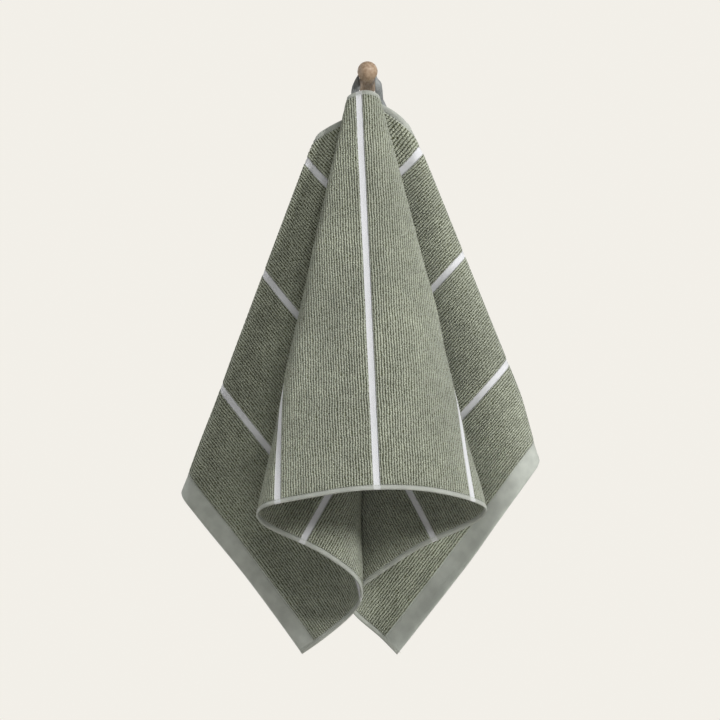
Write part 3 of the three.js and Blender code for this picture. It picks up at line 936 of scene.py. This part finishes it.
def turned_peg():
    out, up, across = peg_axes()
    neck_end = NECK[-1]["radius"]
    profile = [(along, neck_radius(along)) for along in spaced([row["along"] for row in NECK], NECK_STEP)]
    meeting = math.asin(neck_end / BALL_RADIUS)
    for i in range(1, BALL_STEPS + 1):
        angle = mix(math.pi - meeting, 0, i / BALL_STEPS)
        profile.append((BALL_CENTRE + BALL_RADIUS * math.cos(angle), BALL_RADIUS * math.sin(angle)))
    points, uv, faces = [], [], []
    for along, radius in profile:
        for k in range(PEG_SEGMENTS):
            angle = 2 * math.pi * k / PEG_SEGMENTS
            point = out * along + radius * (across * math.cos(angle) + up * math.sin(angle))
            point[1] = min(point[1], 0)
            points.append(point)
            uv.append((radius * angle, along))
    for i in range(len(profile) - 1):
        for k in range(PEG_SEGMENTS):
            a = i * PEG_SEGMENTS + k
            b = i * PEG_SEGMENTS + (k + 1) % PEG_SEGMENTS
            faces.append((b, a, a + PEG_SEGMENTS, b + PEG_SEGMENTS))
    faces.append(tuple(range(PEG_SEGMENTS)))
    peg = mesh_piece("turned_peg", points, faces, wood_material(), uv)
    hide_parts("peg")
    return peg


# The camera, lights and floor.


def make_camera():
    camera = bpy.data.objects.new("camera", bpy.data.cameras.new("camera"))
    camera.location = (VIEW_CENTRE_X, -CAMERA_DISTANCE, VIEW_CENTRE_Z)
    camera.rotation_euler = (math.pi / 2, 0, 0)
    camera.data.sensor_width = SENSOR_WIDTH
    camera.data.lens = SENSOR_WIDTH * CAMERA_DISTANCE / VIEW_WIDTH
    bpy.context.scene.collection.objects.link(camera)
    bpy.context.scene.camera = camera


def make_lights():
    for row in LIGHTS:
        light = bpy.data.objects.new(row["name"], bpy.data.lights.new(row["name"], "AREA"))
        light.data.size = row["size"]
        light.data.energy = row["power"]
        right, above = math.radians(row["right"]), math.radians(row["above"])
        level = math.cos(above)
        way = np.array([math.sin(right) * level, -math.cos(right) * level, math.sin(above)])
        light.location = LIGHT_TARGET + way * LIGHT_DISTANCE
        light.rotation_euler = (math.pi / 2 - above, 0, right)
        light.visible_camera = False
        bpy.context.scene.collection.objects.link(light)


def make_world():
    """Even dim light, with a pale field behind the object."""
    world = bpy.data.worlds.new("studio")
    world.use_nodes = True
    bpy.context.scene.world = world
    nodes, links = world.node_tree.nodes, world.node_tree.links
    place = nodes.new("ShaderNodeTexCoord").outputs["Generated"]
    split = nodes.new("ShaderNodeSeparateXYZ")
    links.new(place, split.inputs[0])
    field = nodes.new("ShaderNodeMapRange")
    field.interpolation_type = "SMOOTHSTEP"
    field.inputs["From Min"].default_value = FIELD_START
    field.inputs["From Max"].default_value = FIELD_FULL
    links.new(split.outputs[1], field.inputs["Value"])
    blend = nodes.new("ShaderNodeMix")
    blend.data_type = "RGBA"
    blend.inputs["A"].default_value = (WORLD_DIM, WORLD_DIM, WORLD_DIM, 1)
    blend.inputs["B"].default_value = (*WORLD_PALE, 1)
    links.new(field.outputs[0], blend.inputs["Factor"])
    links.new(blend.outputs["Result"], nodes["Background"].inputs["Color"])


def make_floor():
    mesh = bpy.data.meshes.new("floor")
    ring = []
    for turn in np.linspace(0, 2 * math.pi, FLOOR_SIDES, endpoint=False):
        ring.append((FLOOR_RADIUS * math.cos(turn), FLOOR_RADIUS * math.sin(turn), -FLOOR_DROP))
    mesh.from_pydata(ring, [], [tuple(range(FLOOR_SIDES))])
    shader = Shader("floor", roughness=0.9)
    shader.colour(FLOOR_COLOUR)
    mesh.materials.append(shader.material)
    floor = bpy.data.objects.new("floor", mesh)
    bpy.context.scene.collection.objects.link(floor)


make_camera()
for each_half in (LEFT_HALF, RIGHT_HALF):
    prepare(each_half)
towel = towel_cloth()
stitching = hem_stitching()
tape = loop_tape()
turned_peg()
make_world()
make_floor()
make_lights()
bpy.context.scene.view_settings.view_transform = "Standard"
